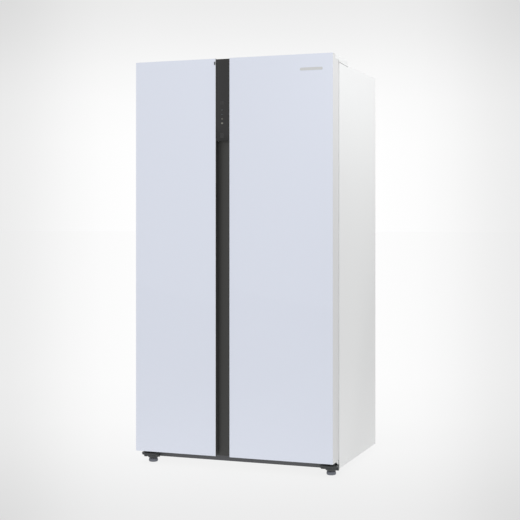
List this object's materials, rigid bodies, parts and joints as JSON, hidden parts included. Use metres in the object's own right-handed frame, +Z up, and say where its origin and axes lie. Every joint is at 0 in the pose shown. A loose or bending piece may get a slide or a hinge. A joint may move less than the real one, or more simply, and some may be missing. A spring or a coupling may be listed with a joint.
{
  "type": "side by side refrigerator",
  "caption": "Tall two door refrigerator with flush pale glass doors, a dark recessed handle strip with display between them, drawers, shelves and door bins inside.",
  "frame": {"origin": "on the floor, under the middle of the refrigerator's overall box", "axes": "+X to the right seen from the front, +Y to the back, +Z up"},
  "size_m": [0.911, 0.716, 1.785],
  "materials": {
    "painted_white": "semi-gloss white enamel",
    "door_glass": "back painted pale blue white glass, glossy",
    "display_glass": "black glass, glossy",
    "black_plastic": "fine satin",
    "foot_plastic": "moulded satin grey",
    "liner_plastic": "vacuum formed, semi-gloss",
    "shelf_glass": "clear tempered glass with plastic edge",
    "clear_plastic": "clear moulded",
    "lamp_lens": "frosted",
    "dark_steel": "dark grey powder coat",
    "compressor_paint": "black enamel",
    "zinc_steel": "galvanised",
    "aluminium_fins": "bare",
    "insulation": "rigid foam",
    "seal_rubber": "matte"
  },
  "bodies": {
    "cabinet": {"cabinet_shell": "painted_white", "rear_panel": "zinc_steel", "base_pan": "zinc_steel", "cabinet_foam": "insulation", "freezer_liner": "liner_plastic", "fridge_liner": "liner_plastic", "mullion_trim": "painted_white", "front_beam": "dark_steel", "machine_cover": "zinc_steel", "power_inlet": "black_plastic", "compressor": "compressor_paint", "drain_tray": "black_plastic", "condenser_coil": "dark_steel", "condenser_fan_shroud": "zinc_steel", "evaporator": "aluminium_fins", "evaporator_cover": "liner_plastic", "fridge_air_duct": "liner_plastic", "fridge_lamp": "lamp_lens", "freezer_shelf_1": "shelf_glass", "freezer_shelf_2": "shelf_glass", "freezer_shelf_3": "shelf_glass", "fridge_shelf_1": "shelf_glass", "fridge_shelf_2": "shelf_glass", "fridge_shelf_3": "shelf_glass", "fridge_shelf_4": "shelf_glass", "left_lower_hinge": "dark_steel", "left_upper_hinge": "zinc_steel", "left_hinge_cover": "painted_white", "right_lower_hinge": "dark_steel", "right_upper_hinge": "zinc_steel", "right_hinge_cover": "painted_white"},
    "freezer_door": {"freezer_door_shell": "painted_white", "freezer_door_foam": "insulation", "freezer_door_glass": "door_glass", "freezer_door_liner": "liner_plastic", "freezer_door_seal": "seal_rubber", "freezer_bin_1": "clear_plastic", "freezer_bin_2": "clear_plastic", "freezer_bin_3": "clear_plastic", "freezer_grip_profile": "black_plastic"},
    "fridge_door": {"fridge_door_shell": "painted_white", "fridge_door_foam": "insulation", "fridge_door_glass": "door_glass", "fridge_door_liner": "liner_plastic", "fridge_door_seal": "seal_rubber", "fridge_bin_1": "clear_plastic", "fridge_bin_2": "clear_plastic", "fridge_bin_3": "clear_plastic", "handle_channel": "black_plastic", "display_panel": "display_glass"},
    "freezer_drawer_1": {"freezer_drawer_1": "clear_plastic"},
    "freezer_drawer_2": {"freezer_drawer_2": "clear_plastic"},
    "fridge_crisper_1": {"fridge_crisper_1": "clear_plastic"},
    "fridge_crisper_2": {"fridge_crisper_2": "clear_plastic"},
    "left_front_foot": {"left_front_foot": "foot_plastic"},
    "right_front_foot": {"right_front_foot": "foot_plastic"},
    "left_rear_roller": {"left_rear_roller": "black_plastic"},
    "right_rear_roller": {"right_rear_roller": "black_plastic"},
    "condenser_fan_rotor": {"condenser_fan_rotor": "black_plastic"},
    "evaporator_fan_rotor": {"evaporator_fan_rotor": "liner_plastic"}
  },
  "joints": [
    {"name": "freezer_door_hinge", "type": "hinge", "parent": "cabinet", "child": "freezer_door", "pos_m": [-0.4355, -0.291, 0.923], "axis": [0, 0, -1], "range_deg": [0, 110]},
    {"name": "fridge_door_hinge", "type": "hinge", "parent": "cabinet", "child": "fridge_door", "pos_m": [0.4355, -0.291, 0.923], "axis": [0, 0, 1], "range_deg": [0, 110]},
    {"name": "freezer_drawer_1_slide", "type": "slide", "parent": "cabinet", "child": "freezer_drawer_1", "axis": [0, -1, 0], "range_m": [0, 0.08]},
    {"name": "freezer_drawer_2_slide", "type": "slide", "parent": "cabinet", "child": "freezer_drawer_2", "axis": [0, -1, 0], "range_m": [0, 0.08]},
    {"name": "fridge_crisper_1_slide", "type": "slide", "parent": "cabinet", "child": "fridge_crisper_1", "axis": [0, -1, 0], "range_m": [0, 0.08]},
    {"name": "fridge_crisper_2_slide", "type": "slide", "parent": "cabinet", "child": "fridge_crisper_2", "axis": [0, -1, 0], "range_m": [0, 0.08]},
    {"name": "left_foot_screw", "type": "slide", "parent": "cabinet", "child": "left_front_foot", "axis": [0, 0, -1], "range_m": [0, 0.012]},
    {"name": "right_foot_screw", "type": "slide", "parent": "cabinet", "child": "right_front_foot", "axis": [0, 0, -1], "range_m": [0, 0.012]},
    {"name": "left_roller_spin", "type": "hinge", "parent": "cabinet", "child": "left_rear_roller", "pos_m": [-0.4, 0.3, 0.018], "axis": [1, 0, 0], "continuous": true},
    {"name": "right_roller_spin", "type": "hinge", "parent": "cabinet", "child": "right_rear_roller", "pos_m": [0.4, 0.3, 0.018], "axis": [1, 0, 0], "continuous": true},
    {"name": "condenser_fan_spin", "type": "hinge", "parent": "cabinet", "child": "condenser_fan_rotor", "pos_m": [-0.106, 0.25235, 0.1413], "axis": [1, 0, 0], "continuous": true},
    {"name": "evaporator_fan_spin", "type": "hinge", "parent": "cabinet", "child": "evaporator_fan_rotor", "pos_m": [-0.24825, 0.276, 1.081], "axis": [0, 1, 0], "continuous": true}
  ]
}
